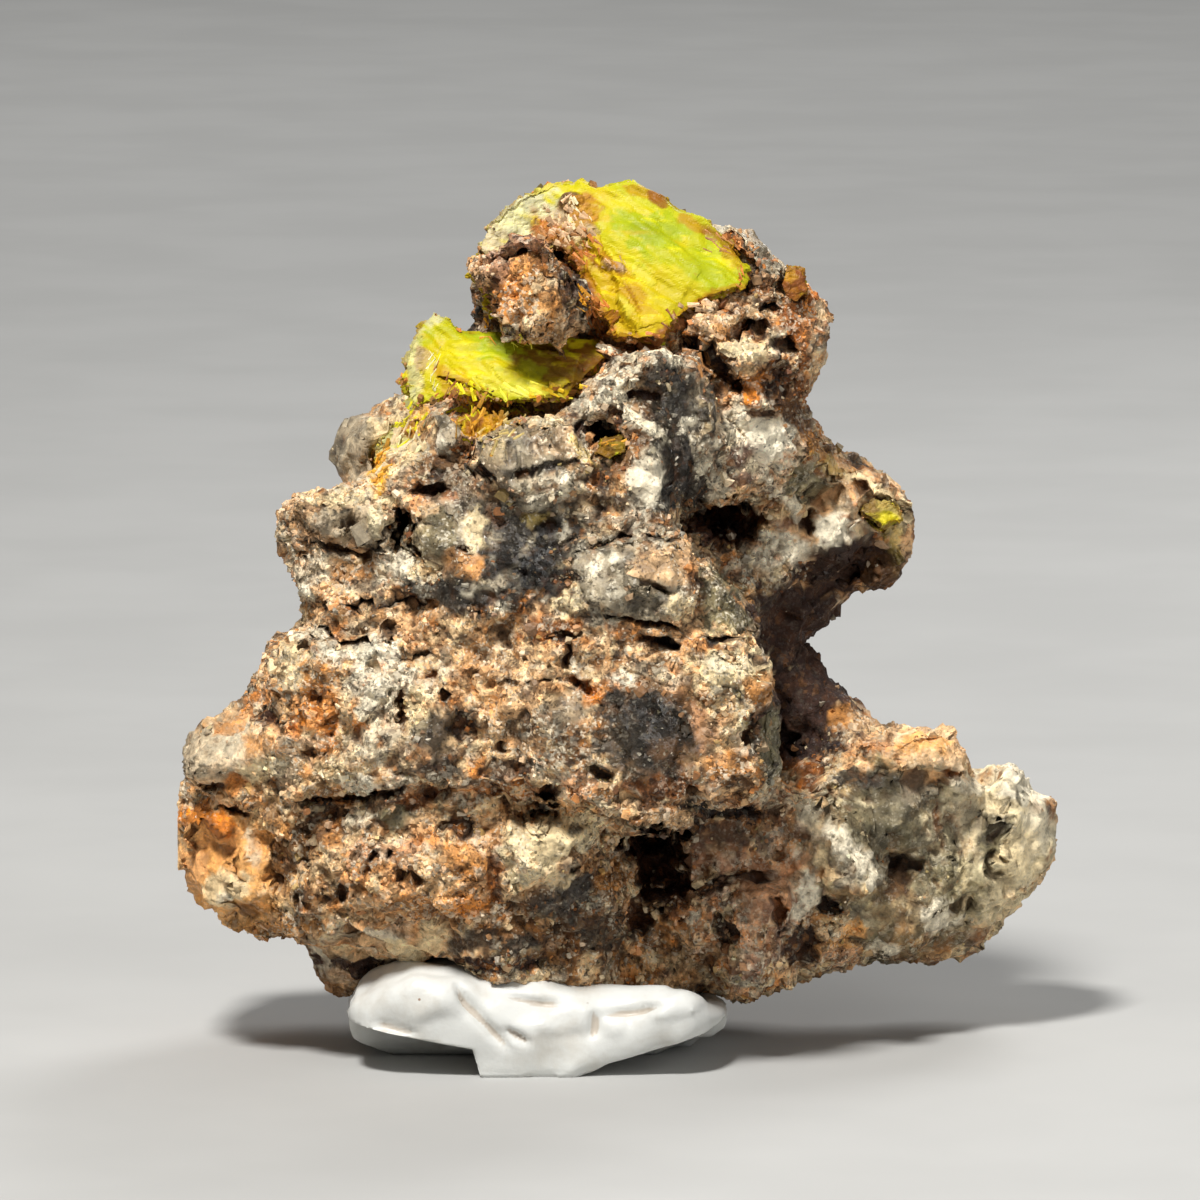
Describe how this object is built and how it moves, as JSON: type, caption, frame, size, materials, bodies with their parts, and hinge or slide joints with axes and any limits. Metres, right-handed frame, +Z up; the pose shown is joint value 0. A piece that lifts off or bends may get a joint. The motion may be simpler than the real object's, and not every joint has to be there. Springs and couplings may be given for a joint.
{
  "type": "uranocircite specimen",
  "caption": "Crumbly quartz and feldspar matrix with lemon-yellow tabular uranocircite books near its top, stood upright on a pad of white putty.",
  "frame": {"origin": "centre of the putty's flat foot, on the surface that the specimen stands on", "axes": "+Z up, -Y towards the viewer of the showing side, +X to that viewer's right"},
  "size_m": [0.0359, 0.0213, 0.0354],
  "materials": {
    "matrix": "rough",
    "uranocircite": "satin",
    "putty": "matte"
  },
  "bodies": {
    "root": {"matrix": "matrix", "mounting_putty": "putty", "uranocircite_upper_book": "uranocircite", "uranocircite_lower_book": "uranocircite", "uranocircite_left_book": "uranocircite", "uranocircite_right_book": "uranocircite", "uranocircite_shoulder_book": "uranocircite", "uranocircite_knob_sliver": "uranocircite", "uranocircite_hollow_flake": "uranocircite", "uranocircite_ridge_book": "uranocircite"}
  },
  "joints": []
}
